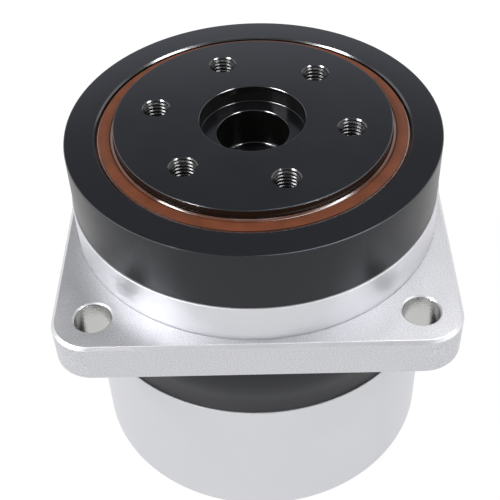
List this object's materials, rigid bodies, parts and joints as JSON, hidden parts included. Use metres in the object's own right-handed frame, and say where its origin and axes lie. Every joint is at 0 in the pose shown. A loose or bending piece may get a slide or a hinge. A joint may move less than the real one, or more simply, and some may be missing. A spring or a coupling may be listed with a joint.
{
  "type": "harmonic gear reducer",
  "caption": "Strain wave gear reducer: clamp-hub input, square mounting flange and a rotating output flange on a crossed roller bearing.",
  "frame": {"origin": "centre of the motor side mounting face, at the bottom of the part", "axes": "+Z along the gear axis, out of the output face; +X and +Y square to the mounting flange's sides"},
  "size_m": [0.12, 0.12, 0.121],
  "materials": {
    "silver_casing": "bead blasted, clear anodised",
    "black_steel": "black oxide, semi-gloss",
    "output_black": "black oxide, turned face",
    "seal_rubber": "brown moulded rubber",
    "input_rubber": "brown moulded rubber",
    "o_ring_rubber": "matt black",
    "bearing_steel": "ground",
    "spring_steel": "ground alloy steel",
    "shaft_steel": "turned alloy steel",
    "fastener_steel": "black oxide",
    "cage_plastic": "moulded polyamide",
    "plug_plastic": "moulded",
    "seal_steel": "pressed"
  },
  "bodies": {
    "housing": {"motor_adapter": "silver_casing", "circular_spline": "black_steel", "flange_housing": "silver_casing", "outer_bearing_ring": "black_steel", "roller_filling_plug": "black_steel", "filling_plug_pin": "fastener_steel", "bearing_ring_screws": "fastener_steel", "circular_spline_screws": "fastener_steel", "casing_dowels": "bearing_steel", "joint_o_rings": "o_ring_rubber", "output_seal_case": "seal_steel", "output_seal_lip": "seal_rubber", "output_seal_spring": "seal_steel", "input_seal_case": "seal_steel", "input_seal_lip": "input_rubber", "input_seal_spring": "seal_steel", "input_bearing_outer_race": "bearing_steel", "bearing_circlip": "spring_steel", "access_plug": "plug_plastic"},
    "output": {"output_flange": "output_black", "bore_cap": "output_black", "flexspline": "spring_steel", "flexspline_clamp_ring": "shaft_steel", "flexspline_screws": "fastener_steel", "flexspline_dowels": "bearing_steel"},
    "input": {"input_shaft": "shaft_steel", "shaft_circlip": "spring_steel", "input_bearing_inner_race": "bearing_steel", "clamp_collar": "shaft_steel", "clamp_screw": "fastener_steel", "wave_generator_cam": "shaft_steel", "cam_retainer": "shaft_steel", "cam_screws": "fastener_steel", "flex_bearing_outer_race": "bearing_steel", "flex_bearing_inner_race": "bearing_steel", "flex_bearing_balls": "bearing_steel", "flex_bearing_cage": "cage_plastic"},
    "roller_train": {"crossed_rollers": "bearing_steel", "roller_spacers": "cage_plastic"},
    "input_ball_train": {"input_bearing_balls": "bearing_steel", "input_bearing_cage": "cage_plastic"}
  },
  "joints": [
    {"name": "input_turn", "type": "hinge", "parent": "housing", "child": "input", "pos_m": [0, 0, 0.0375], "axis": [0, 0, 1], "continuous": true, "deforming": ["flexspline"]},
    {"name": "output_turn", "type": "hinge", "parent": "housing", "child": "output", "pos_m": [0, 0, 0.1034], "axis": [0, 0, 1], "continuous": true},
    {"name": "roller_train_turn", "type": "hinge", "parent": "housing", "child": "roller_train", "pos_m": [0, 0, 0.1034], "axis": [0, 0, 1], "continuous": true},
    {"name": "input_ball_train_turn", "type": "hinge", "parent": "housing", "child": "input_ball_train", "pos_m": [0, 0, 0.0375], "axis": [0, 0, 1], "continuous": true}
  ],
  "couplings": [
    {"joint": "output_turn", "follows": "input_turn", "ratio": -0.02},
    {"joint": "roller_train_turn", "follows": "input_turn", "ratio": -0.0095388},
    {"joint": "input_ball_train_turn", "follows": "input_turn", "ratio": 0.42987}
  ]
}
